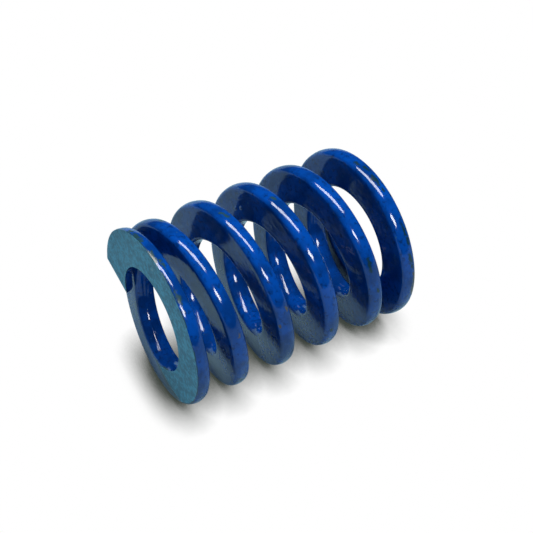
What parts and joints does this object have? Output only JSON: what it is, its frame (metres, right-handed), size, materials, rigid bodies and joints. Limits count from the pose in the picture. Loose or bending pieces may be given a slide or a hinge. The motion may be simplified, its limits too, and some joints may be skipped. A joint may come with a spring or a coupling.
{
  "type": "die spring",
  "caption": "Heavy compression spring coiled from flat-sided wire, with closed ends ground flat, painted blue.",
  "frame": {"origin": "middle of the lower ground end, on the coil's axis", "axes": "+Z along the coil's axis towards the upper end, +X through both wire tips"},
  "size_m": [0.0474, 0.048, 0.064],
  "materials": {
    "blue_paint": "glossy blue paint on spring steel, worn through at the ground ends"
  },
  "bodies": {
    "root": {"coil_spring": "blue_paint"}
  },
  "joints": []
}
